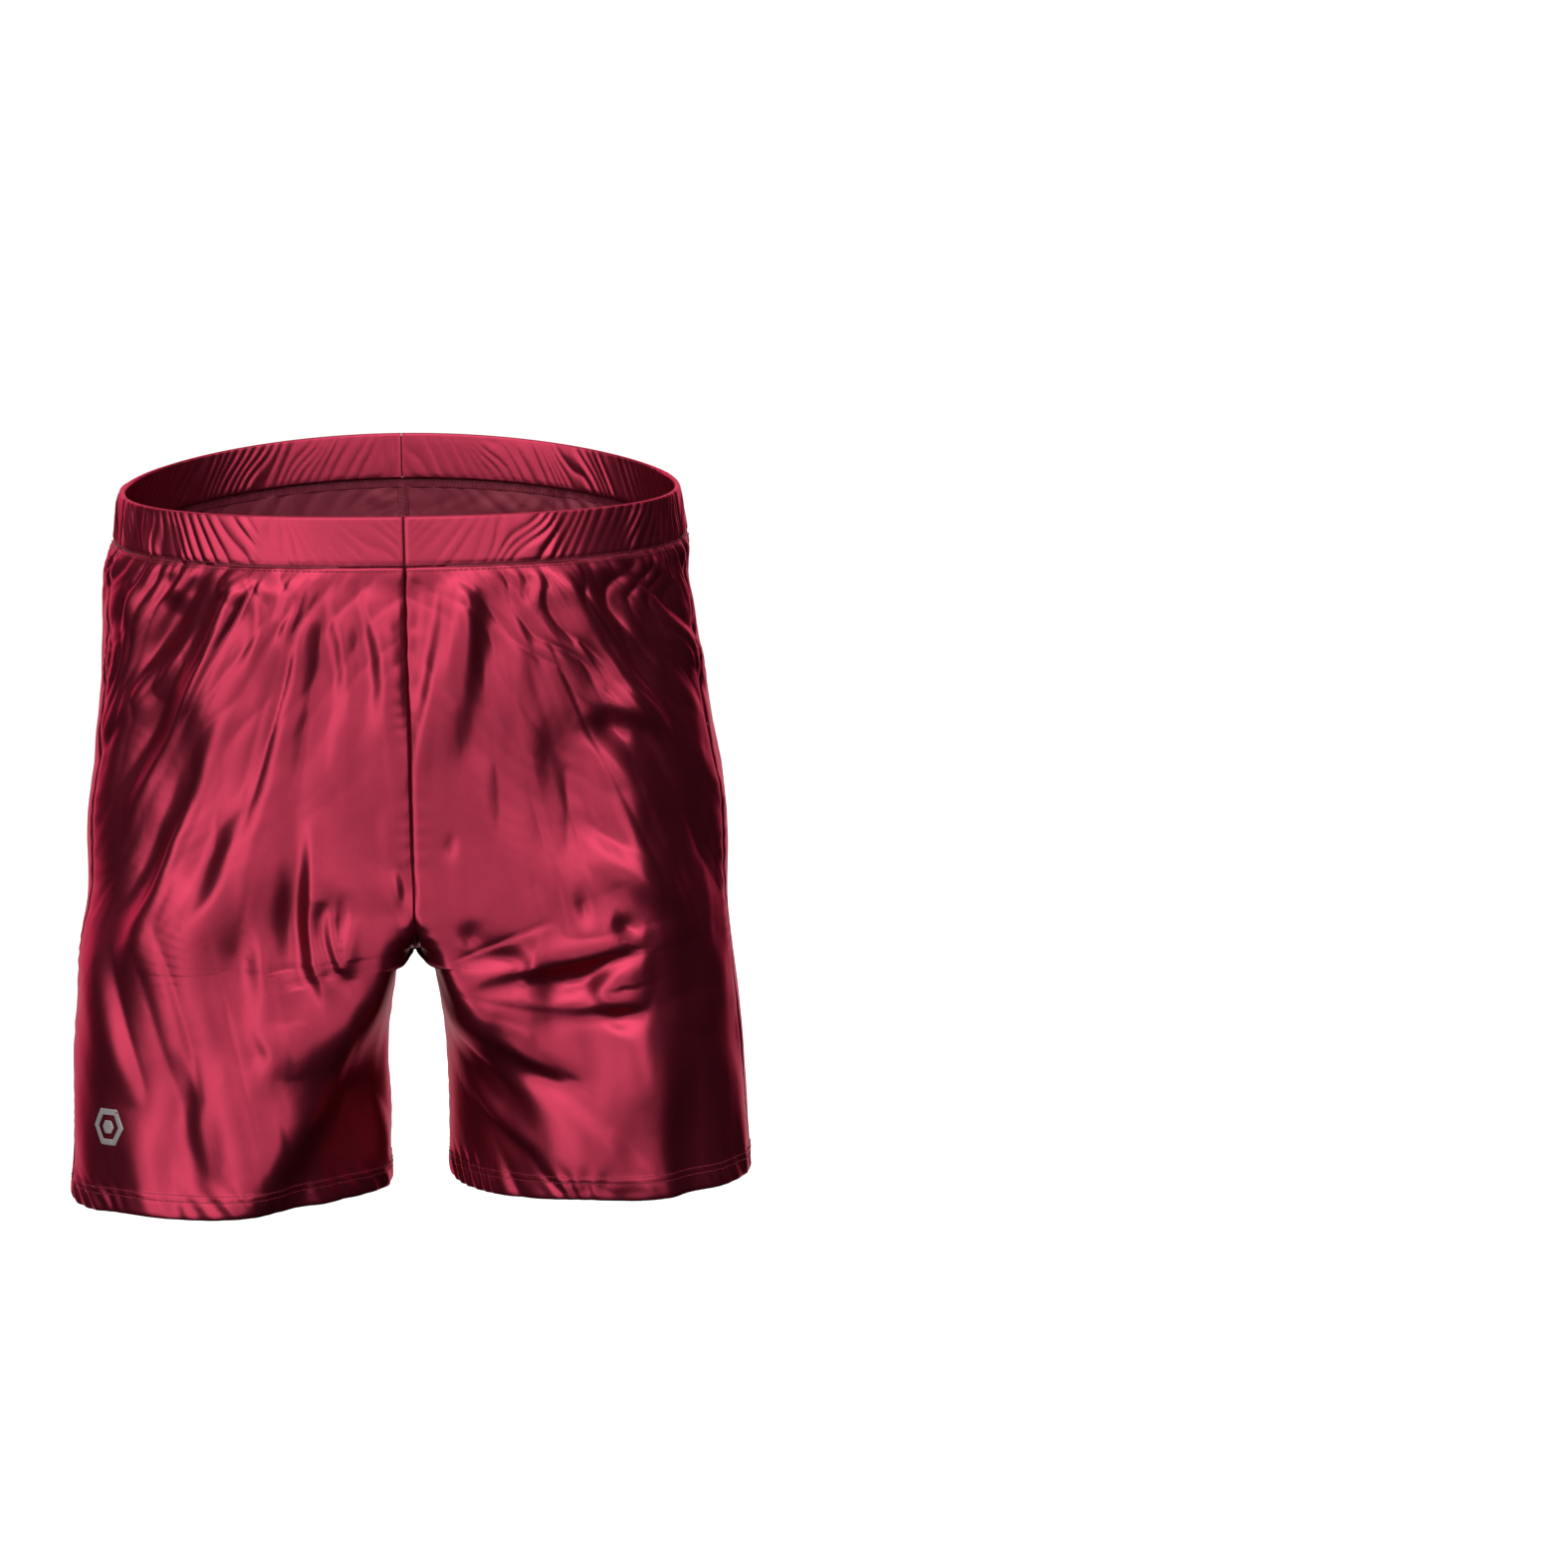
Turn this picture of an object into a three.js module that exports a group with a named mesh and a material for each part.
// Men's pull-on sports shorts in shiny stretch satin, worn open on an invisible figure.
// Four fabric panels, an elastic in a four-piece waist casing, two side pockets and the
// threads that hold them. Millimetres, +Z up, the front faces -Y, the wearer's left is +X.
// The origin is the middle of the waist opening, level with its edge at the sides.
import * as THREE from 'three';

// ---- Driving dimensions --------------------------------------------------------------
const CLEARANCE = 0.3; // air between pieces that are sewn together
const CLOTH = 0.8; // shell fabric
const LINING = 0.5; // pocket fabric, and the overlocked allowance of a seam
const THREAD = 0.5; // topstitching thread, standing on the cloth

const SIDE_HEIGHT = 377; // hem to the waist edge, at the side
const FRONT_DROP = 19; // how much lower the waist edge is at the centre front
const BACK_RAISE = 32; // and how much higher at the centre back
const CROTCH_HEIGHT = 125; // hem to the crotch, which is the inseam's length
const FORK_HEIGHT = 120; // over which the two legs part below the hips

const WAIST_HALF_WIDTH = 150;
const WAIST_HALF_DEPTH = 100;
const HEM_REACH = 184; // centre plane to the outside of a leg at the hem
const HEM_HALF_DEPTH = 97;
const FLARE_POWER = 1.45; // how evenly the sides widen from waist to hem
const LEG_GAP = 36; // between the legs, once the gap has opened
const GAP_ROUNDING = 20; // height over which most of that gap opens under the crotch
const GAP_POWER = 0.4; // below 1 the gap starts as a round arch
const BELLY = 8; // how far the front bulges past a straight side
const BELLY_HEIGHT = 262;
const SEAT = 28; // how far the seat does
const SEAT_HEIGHT = 235;
const BODY_SPREAD = 85; // height over which belly and seat fade out
const FULLNESS = 0.1; // how much squarer than an ellipse a section is
const FRONT_FLATNESS = 10; // power of the section's curve towards the centre front, 2 for an ellipse
const FLATNESS_FADE = 30; // height below the crotch over which the legs become round
const SIDE_SEAM_ANGLE = 16; // degrees that the side seams lie in front of the widest point

const CASING_HEIGHT = 26;
const ELASTIC_EASE = 1.1; // air above and below the elastic, which fills its casing
const ELASTIC_THICKNESS = 1.6;
const HEM_TURN = 14; // fabric turned up inside the hem
const ALLOWANCE = 6; // width of an overlocked seam allowance
const WAIST_ALLOWANCE = 5;
const NEEDLE_GAUGE = 3.2; // between the two rows of a coverstitch

const POCKET_DROP = 8; // waist seam to the top of the pocket mouth
const POCKET_MOUTH = 92;
const POCKET_GAPE = 3; // how far the mouth stands open
const BAG_DEPTH = 152;
const BAG_WIDTH = 100;
const BAG_UNDERLAP = 4; // the inner bag runs this far behind the side seam
const BAG_EASE = 0.7; // air between a panel and the pocket behind it, and in the pocket
const BARTACK_LENGTH = 8;
const BARTACK_WIDTH = 1.8;

const EMBLEM_ACROSS = 19; // between two flats of the hexagon
const EMBLEM_BAND = 4.5;
const EMBLEM_THICKNESS = 0.3;
const EMBLEM_HEIGHT = 45;
const EMBLEM_ANGLE = 44; // degrees forward of the leg's outside

const RAD = Math.PI / 180;
const FRONT = -Math.PI / 2; // angle of the centre front on a section
const SIDE_SEAM = -SIDE_SEAM_ANGLE * RAD;
const LEFT = 1;
const RIGHT = -1;

// ---- The garment's surface -----------------------------------------------------------
// Each half of the garment is a tube of horizontal sections, with its angle 0 at the
// outside and -90 degrees at the front. Above the crotch the two tubes run into each other
// and each is cut off at the centre plane, which gives the curve of the crotch seam.
const mix = (a, b, share) => a + (b - a) * share;
const bell = (z, middle) => Math.exp(-(((z - middle) / BODY_SPREAD) ** 2));

function outerReach(z) {
  const share = Math.max(z, 0) / SIDE_HEIGHT;
  return mix(HEM_REACH, WAIST_HALF_WIDTH, share ** FLARE_POWER);
}

// A section's centre, and how far its outside and its inside lie from that centre. Above
// the crotch the centre moves in to the centre plane, which it reaches at the fork's top.
function section(z) {
  const outer = outerReach(z);
  const below = CROTCH_HEIGHT - z;
  if (below >= 0) {
    const centre = (outer + (LEG_GAP / 2) * (below / CROTCH_HEIGHT)) / 2;
    const gap = (LEG_GAP / 2) * (1 - Math.exp(-((below / GAP_ROUNDING) ** GAP_POWER)));
    return { centre, outwards: outer - centre, inwards: centre - gap };
  }
  const rise = Math.min(1, -below / FORK_HEIGHT);
  const inwards = mix(outer / 2, outer, rise);
  const centre = inwards * (1 - rise) ** 2 * (1 + rise);
  return { centre, outwards: outer - centre, inwards };
}

function halfDepth(angle, z) {
  const plain = mix(HEM_HALF_DEPTH, WAIST_HALF_DEPTH, z / SIDE_HEIGHT);
  const inFront = Math.sin(angle) < 0;
  const body = inFront ? BELLY * bell(z, BELLY_HEIGHT) : SEAT * bell(z, SEAT_HEIGHT);
  return plain + body;
}

function onSurface(side, angle, z) {
  const { centre, outwards, inwards } = section(z);
  const cosine = Math.cos(angle);
  const x = centre + cosine * (cosine > 0 ? outwards : inwards);
  const y = halfDepth(angle, z) * flattenedSine(angle, z) * (1 + FULLNESS * cosine ** 2);
  return new THREE.Vector3(side * x, y, z);
}

// The sine of the angle, made to stay near its greatest value towards the centre front.
function flattenedSine(angle, z) {
  const sine = Math.sin(angle);
  const cosine = Math.cos(angle);
  if (sine >= 0 || cosine >= 0) return sine;
  const below = Math.max(CROTCH_HEIGHT - z, 0);
  const rise = Math.min(1, Math.max(0, z - CROTCH_HEIGHT) / FORK_HEIGHT);
  const flat = Math.exp(-((below / FLATNESS_FADE) ** 2)) * (1 - rise ** 4);
  const power = mix(2, FRONT_FLATNESS, flat);
  return -Math.sqrt(1 - Math.abs(cosine) ** power);
}

// A point that lies the given depth inside the outer face of the cloth.
function place(side, angle, z, depth) {
  const step = 1e-3;
  const here = onSurface(side, angle, z);
  const around = onSurface(side, angle + step, z).sub(onSurface(side, angle - step, z));
  const up = onSurface(side, angle, z + 1).sub(onSurface(side, angle, z - 1));
  const outwards = around.cross(up).normalize().multiplyScalar(side);
  return here.addScaledVector(outwards, -depth);
}

// Moves an angle by a distance along the section.
function along(angle, z, distance) {
  const step = 1e-3;
  const a = onSurface(LEFT, angle - step, z);
  const b = onSurface(LEFT, angle + step, z);
  return angle + (distance * 2 * step) / a.distanceTo(b);
}

// The angle at which a panel ends: at the centre seam, or below the crotch at the inseam.
function innerAngle(z, clear = CLEARANCE / 2) {
  const { centre, inwards } = section(z);
  const inseam = Math.PI - clear / HEM_HALF_DEPTH;
  const share = (centre - clear) / inwards;
  return share >= 1 ? inseam : Math.min(inseam, Math.acos(-share));
}

function waistEdge(angle) {
  const lean = Math.sin(angle);
  const slope = (FRONT_DROP + BACK_RAISE) / 2;
  const curve = (BACK_RAISE - FRONT_DROP) / 2;
  return SIDE_HEIGHT + slope * lean + curve * lean ** 2;
}

const casingFoot = (angle) => waistEdge(angle) - CASING_HEIGHT;
const panelTop = (angle) => casingFoot(angle) - CLEARANCE;
const allowanceFoot = (angle) => panelTop(angle) - WAIST_ALLOWANCE;

// ---- Closed bodies from two facing grids of points -------------------------------------
// outer and inner give a point for a row and a column. A ring closes on itself along its
// columns; a patch gets an edge all round.
function closedBody(rows, columns, outer, inner, ring = false) {
  const points = [];
  const triangles = [];
  const grid = (at) => {
    const first = points.length;
    for (let r = 0; r < rows; r++) {
      for (let c = 0; c < columns; c++) points.push(at(r, c));
    }
    return (r, c) => first + r * columns + (ring ? c % columns : c);
  };
  const quad = (a, b, c, d) => triangles.push(a, b, c, a, c, d);
  const out = grid(outer);
  const back = grid(inner);
  const spans = ring ? columns : columns - 1;
  for (let c = 0; c < spans; c++) {
    for (let r = 0; r < rows - 1; r++) {
      quad(out(r, c), out(r + 1, c), out(r + 1, c + 1), out(r, c + 1));
      quad(back(r, c), back(r, c + 1), back(r + 1, c + 1), back(r + 1, c));
    }
    quad(out(0, c), out(0, c + 1), back(0, c + 1), back(0, c));
    quad(out(rows - 1, c), back(rows - 1, c), back(rows - 1, c + 1), out(rows - 1, c + 1));
  }
  for (let r = 0; r < rows - 1 && !ring; r++) {
    const last = columns - 1;
    quad(out(r, 0), back(r, 0), back(r + 1, 0), out(r + 1, 0));
    quad(out(r, last), out(r + 1, last), back(r + 1, last), back(r, last));
  }
  return facingOut(points, triangles);
}

function facingOut(points, triangles) {
  let volume = 0;
  for (let i = 0; i < triangles.length; i += 3) {
    const [a, b, c] = [0, 1, 2].map((k) => points[triangles[i + k]]);
    volume += a.dot(b.clone().cross(c));
  }
  const index = volume < 0 ? triangles.reverse() : triangles;
  const positions = points.flatMap((p) => p.toArray());
  const geometry = new THREE.BufferGeometry();
  geometry.setAttribute('position', new THREE.Float32BufferAttribute(positions, 3));
  geometry.setIndex(index);
  geometry.computeVertexNormals();
  return geometry;
}

// ---- Materials and the assembly ---------------------------------------------------------
const satin = new THREE.MeshStandardMaterial({
  color: 0xb8304f,
  roughness: 0.35,
  metalness: 0.6,
});
const pocketing = new THREE.MeshStandardMaterial({ color: 0x8e2440, roughness: 0.8 });
const thread = new THREE.MeshStandardMaterial({ color: 0xa52a48, roughness: 0.6 });
const elastic = new THREE.MeshStandardMaterial({ color: 0xe8e4e0, roughness: 0.9 });
const foil = new THREE.MeshStandardMaterial({ color: 0xa8989c, roughness: 0.4 });

const shorts = new THREE.Group();
shorts.position.z = -SIDE_HEIGHT;

function add(name, geometry, material) {
  const mesh = new THREE.Mesh(geometry, material);
  mesh.name = name;
  shorts.add(mesh);
}

// ---- Panels -----------------------------------------------------------------------------
// Rows of a panel from its top down: closer together at the crotch, where the seams curve,
// and a pair at the edge of the turned-up hem, where the cloth becomes double.
const HIP_ROWS = 6;
const FORK_ROWS = 11;
const LEG_ROWS = 6;
const PANEL_COLUMNS = 16;
const TURN_STEP = 0.5;

function panelRows(top) {
  const fork = CROTCH_HEIGHT + FORK_HEIGHT;
  const rows = [];
  for (let i = 0; i < HIP_ROWS; i++) rows.push([mix(top, fork, i / HIP_ROWS), CLOTH]);
  for (let i = 0; i < FORK_ROWS; i++) {
    rows.push([CROTCH_HEIGHT + FORK_HEIGHT * (1 - i / FORK_ROWS) ** 2, CLOTH]);
  }
  for (let i = 0; i <= LEG_ROWS; i++) {
    rows.push([mix(CROTCH_HEIGHT, HEM_TURN, (i / LEG_ROWS) ** 2), CLOTH]);
  }
  rows.push([HEM_TURN - TURN_STEP, 2 * CLOTH], [0, 2 * CLOTH]);
  return rows;
}

// The angles of a front and a back panel's columns. What runs round the garment has its
// corners at the same angles, so that it follows the panels' flat facets.
function columnAngles(front, seam, back) {
  const spans = PANEL_COLUMNS - 1;
  const share = (from, to) => Array.from({ length: spans }, (_, i) => mix(from, to, i / spans));
  return [...share(front, seam), ...share(seam, back)];
}

const LEG_ANGLES = columnAngles(-Math.PI, SIDE_SEAM, Math.PI);
const WAIST_ANGLES = [
  ...columnAngles(FRONT, SIDE_SEAM, -FRONT),
  ...columnAngles(-FRONT, Math.PI - SIDE_SEAM, 2 * Math.PI + FRONT),
];

// The pocket mouth is a leaf-shaped gap that only the front panel gives way to.
function mouthGape(z) {
  const top = panelTop(SIDE_SEAM) - POCKET_DROP;
  const share = (top - z) / POCKET_MOUTH;
  return share <= 0 || share >= 1 ? 0 : POCKET_GAPE * Math.sin(share * Math.PI);
}

const frontEdge = (z) => along(SIDE_SEAM, z, -CLEARANCE / 2 - mouthGape(z));
const backEdge = (z) => along(SIDE_SEAM, z, CLEARANCE / 2);

// The angle at a height and at a share of a panel's width. The shares run from the centre
// front to the side seam, and from the side seam to the centre back.
const FRONT_PANEL = (z, share) => mix(-innerAngle(z), frontEdge(z), share);
const BACK_PANEL = (z, share) => mix(backEdge(z), innerAngle(z), share);

function panel(side, angleAt) {
  const isFront = angleAt === FRONT_PANEL;
  const columns = [];
  for (let c = 0; c < PANEL_COLUMNS; c++) {
    const share = c / (PANEL_COLUMNS - 1);
    const topAngle = isFront ? mix(FRONT, SIDE_SEAM, share) : mix(SIDE_SEAM, -FRONT, share);
    columns.push({ share, rows: panelRows(panelTop(topAngle)) });
  }
  const point = (r, c, inside) => {
    const [z, thickness] = columns[c].rows[r];
    return place(side, angleAt(z, columns[c].share), z, inside ? thickness : 0);
  };
  return closedBody(
    columns[0].rows.length,
    PANEL_COLUMNS,
    (r, c) => point(r, c, false),
    (r, c) => point(r, c, true),
  );
}

// ---- Waist ------------------------------------------------------------------------------
const CHANNEL = ELASTIC_THICKNESS + 2 * CLEARANCE; // room for the elastic in the casing
const ELASTIC_DEPTH = CLOTH + CLEARANCE;

// The casing is one strip folded over the elastic: up the outside, over and down inside.
function casing(side, from, to) {
  const path = (inset) => [
    [0, inset],
    [CASING_HEIGHT / 2, inset],
    [CASING_HEIGHT - inset - CHANNEL / 4, inset],
    [CASING_HEIGHT - inset, inset + CHANNEL / 4],
    [CASING_HEIGHT - inset, 2 * CLOTH + CHANNEL - inset - CHANNEL / 4],
    [CASING_HEIGHT - inset - CHANNEL / 4, 2 * CLOTH + CHANNEL - inset],
    [CASING_HEIGHT / 2, 2 * CLOTH + CHANNEL - inset],
    [0, 2 * CLOTH + CHANNEL - inset],
  ];
  const at = (line) => (r, c) => {
    const angle = mix(from, to, c / (PANEL_COLUMNS - 1));
    const [up, depth] = line[r];
    return place(side, angle, casingFoot(angle) + up, depth);
  };
  const shell = path(0);
  return closedBody(shell.length, PANEL_COLUMNS, at(shell), at(path(CLOTH)));
}

// A ring right round the waist: its foot and its height above the casing's foot, its depth
// inside the cloth's outer face and its thickness.
function waistRing(foot, height, depth, thickness) {
  const at = (d) => (r, c) => {
    const angle = WAIST_ANGLES[c];
    return place(LEFT, angle, casingFoot(angle) + foot + r * height, d);
  };
  return closedBody(2, WAIST_ANGLES.length, at(depth), at(depth + thickness), true);
}

// A ring round one leg, measured up from the hem's edge.
function legRing(side, foot, height, depth, thickness) {
  const at = (d) => (r, c) => place(side, LEG_ANGLES[c], foot + r * height, d);
  return closedBody(2, LEG_ANGLES.length, at(depth), at(depth + thickness), true);
}

// ---- Seam allowances --------------------------------------------------------------------
// A flat strip inside the cloth, pressed to one side of a seam. It lies along the first
// facets of the panel on that side: edge is 0 or 1, the panel's edge that the seam is at.
const SEAM_DEPTH = CLOTH + 2 * CLEARANCE; // the facets twist at the crotch and need room
const SEAM_FOOT = HEM_TURN + CLEARANCE;

function seamStrip(side, panelAngle, edge, seamAngle, foot = SEAM_FOOT, top = Infinity) {
  const end = Math.min(top, allowanceFoot(seamAngle) - CLEARANCE);
  const between = panelRows(panelTop(seamAngle)).map(([z]) => z);
  const rows = [end, ...between.filter((z) => z < end - 1 && z > foot + 1), foot];
  const next = edge === 0 ? 1 / (PANEL_COLUMNS - 1) : 1 - 1 / (PANEL_COLUMNS - 1);
  const span = ALLOWANCE - CLEARANCE;
  const at = (depth) => (r, c) => {
    const from = place(side, panelAngle(rows[r], edge), rows[r], depth);
    const towards = place(side, panelAngle(rows[r], next), rows[r], depth);
    const reach = CLEARANCE + (edge === 0 ? c : 1 - c) * span;
    return from.lerp(towards, reach / from.distanceTo(towards));
  };
  return closedBody(rows.length, 2, at(SEAM_DEPTH), at(SEAM_DEPTH + LINING));
}

// ---- Pockets ----------------------------------------------------------------------------
// Two layers inside the front panel. The outer one is sewn to the panel's edge, the inner
// one reaches behind the side seam. Both are cut back in a curve at the front lower corner.
const BAG_ROWS = 10;
const BAG_COLUMNS = 8;
const BAG_CURVE_START = 0.5; // share of the bag's depth where the curve begins
const BAG_CURVE_CUT = 0.55; // share of its width that the curve takes at the bottom

function pocketBag(side, rear, depth) {
  const at = (d) => (r, c) => {
    const down = r / (BAG_ROWS - 1);
    const bend = Math.max(0, (down - BAG_CURVE_START) / (1 - BAG_CURVE_START));
    const width = BAG_WIDTH * (1 - BAG_CURVE_CUT * bend ** 2);
    const share = c / (BAG_COLUMNS - 1);
    const middle = panelTop(SIDE_SEAM) - POCKET_DROP - down * BAG_DEPTH;
    const edge = rear(middle);
    const angle = mix(edge, along(SIDE_SEAM, middle, -width), share);
    const lean = (panelTop(angle) - panelTop(SIDE_SEAM)) * (1 - down);
    return place(side, angle, middle + lean, d);
  };
  return closedBody(BAG_ROWS, BAG_COLUMNS, at(depth), at(depth + LINING));
}

// A short dense bar of stitches across the side seam, at one end of the pocket mouth.
function bartack(side, z) {
  const at = (depth) => (r, c) => {
    const angle = along(SIDE_SEAM, z, (c / 3 - 0.5) * BARTACK_LENGTH);
    return place(side, angle, z + (r - 0.5) * BARTACK_WIDTH, depth);
  };
  return closedBody(2, 4, at(-CLEARANCE - THREAD), at(-CLEARANCE));
}

// ---- Emblem -----------------------------------------------------------------------------
// A plain hexagonal ring of transfer film on the front of the right leg, near the hem.
function emblem(side) {
  const corners = 6;
  const perSide = 3;
  const middle = -EMBLEM_ANGLE * RAD;
  const corner = (across, k) => {
    const turn = (k * 2 * Math.PI) / corners;
    return [Math.cos(turn), Math.sin(turn)].map((v) => (v * across) / Math.sqrt(3));
  };
  const at = (depth) => (r, c) => {
    const across = EMBLEM_ACROSS - 2 * r * EMBLEM_BAND;
    const k = Math.floor(c / perSide);
    const share = (c % perSide) / perSide;
    const [from, to] = [corner(across, k), corner(across, k + 1)];
    const z = EMBLEM_HEIGHT + mix(from[1], to[1], share);
    return place(side, along(middle, z, mix(from[0], to[0], share)), z, depth);
  };
  const foot = -CLEARANCE;
  return closedBody(2, corners * perSide, at(foot - EMBLEM_THICKNESS), at(foot), true);
}

// ---- Assembly ---------------------------------------------------------------------------
for (const [side, name] of [[LEFT, 'left'], [RIGHT, 'right']]) {
  add(`front_panel_${name}`, panel(side, FRONT_PANEL), satin);
  add(`back_panel_${name}`, panel(side, BACK_PANEL), satin);

  const gap = CLEARANCE / 2 / WAIST_HALF_WIDTH;
  add(`waist_casing_front_${name}`, casing(side, FRONT + gap, SIDE_SEAM - gap), satin);
  add(`waist_casing_back_${name}`, casing(side, SIDE_SEAM + gap, -FRONT - gap), satin);

  const bagOuter = CLOTH + BAG_EASE;
  const bagInner = bagOuter + LINING + BAG_EASE;
  const behind = (z) => along(SIDE_SEAM, z, BAG_UNDERLAP);
  add(`pocket_bag_outer_${name}`, pocketBag(side, frontEdge, bagOuter), pocketing);
  add(`pocket_bag_inner_${name}`, pocketBag(side, behind, bagInner), pocketing);

  const mouthTop = panelTop(SIDE_SEAM) - POCKET_DROP;
  add(`pocket_bartack_upper_${name}`, bartack(side, mouthTop), thread);
  add(`pocket_bartack_lower_${name}`, bartack(side, mouthTop - POCKET_MOUTH), thread);

  const outside = -CLEARANCE - THREAD;
  const hemRow = HEM_TURN - TURN_STEP - 2 * THREAD;
  const hemUpper = legRing(side, hemRow, THREAD, outside, THREAD);
  const hemLower = legRing(side, hemRow - NEEDLE_GAUGE, THREAD, outside, THREAD);
  add(`hem_topstitch_upper_${name}`, hemUpper, thread);
  add(`hem_topstitch_lower_${name}`, hemLower, thread);

  const inseamTop = CROTCH_HEIGHT - ALLOWANCE;
  const inseam = seamStrip(side, BACK_PANEL, 1, -FRONT, SEAM_FOOT, inseamTop);
  add(`side_seam_${name}`, seamStrip(side, BACK_PANEL, 0, SIDE_SEAM), thread);
  add(`inseam_${name}`, inseam, thread);
}

const crotch = CROTCH_HEIGHT + ALLOWANCE;
add('centre_front_seam', seamStrip(LEFT, FRONT_PANEL, 0, FRONT, crotch), thread);
add('centre_back_seam', seamStrip(LEFT, BACK_PANEL, 1, -FRONT, crotch), thread);

const elasticWidth = CASING_HEIGHT - CLOTH - 2 * ELASTIC_EASE;
const band = waistRing(ELASTIC_EASE, elasticWidth, ELASTIC_DEPTH, ELASTIC_THICKNESS);
add('waist_elastic', band, elastic);
const allowanceStart = -CLEARANCE - WAIST_ALLOWANCE;
add('waist_seam', waistRing(allowanceStart, WAIST_ALLOWANCE, SEAM_DEPTH, LINING), thread);
const rowUp = (NEEDLE_GAUGE - THREAD) / 2;
const rowDown = -(NEEDLE_GAUGE + THREAD) / 2;
const stitchDepth = -CLEARANCE - THREAD;
add('waist_topstitch_upper', waistRing(rowUp, THREAD, stitchDepth, THREAD), thread);
add('waist_topstitch_lower', waistRing(rowDown, THREAD, stitchDepth, THREAD), thread);

add('emblem', emblem(RIGHT), foil);

export default shorts;
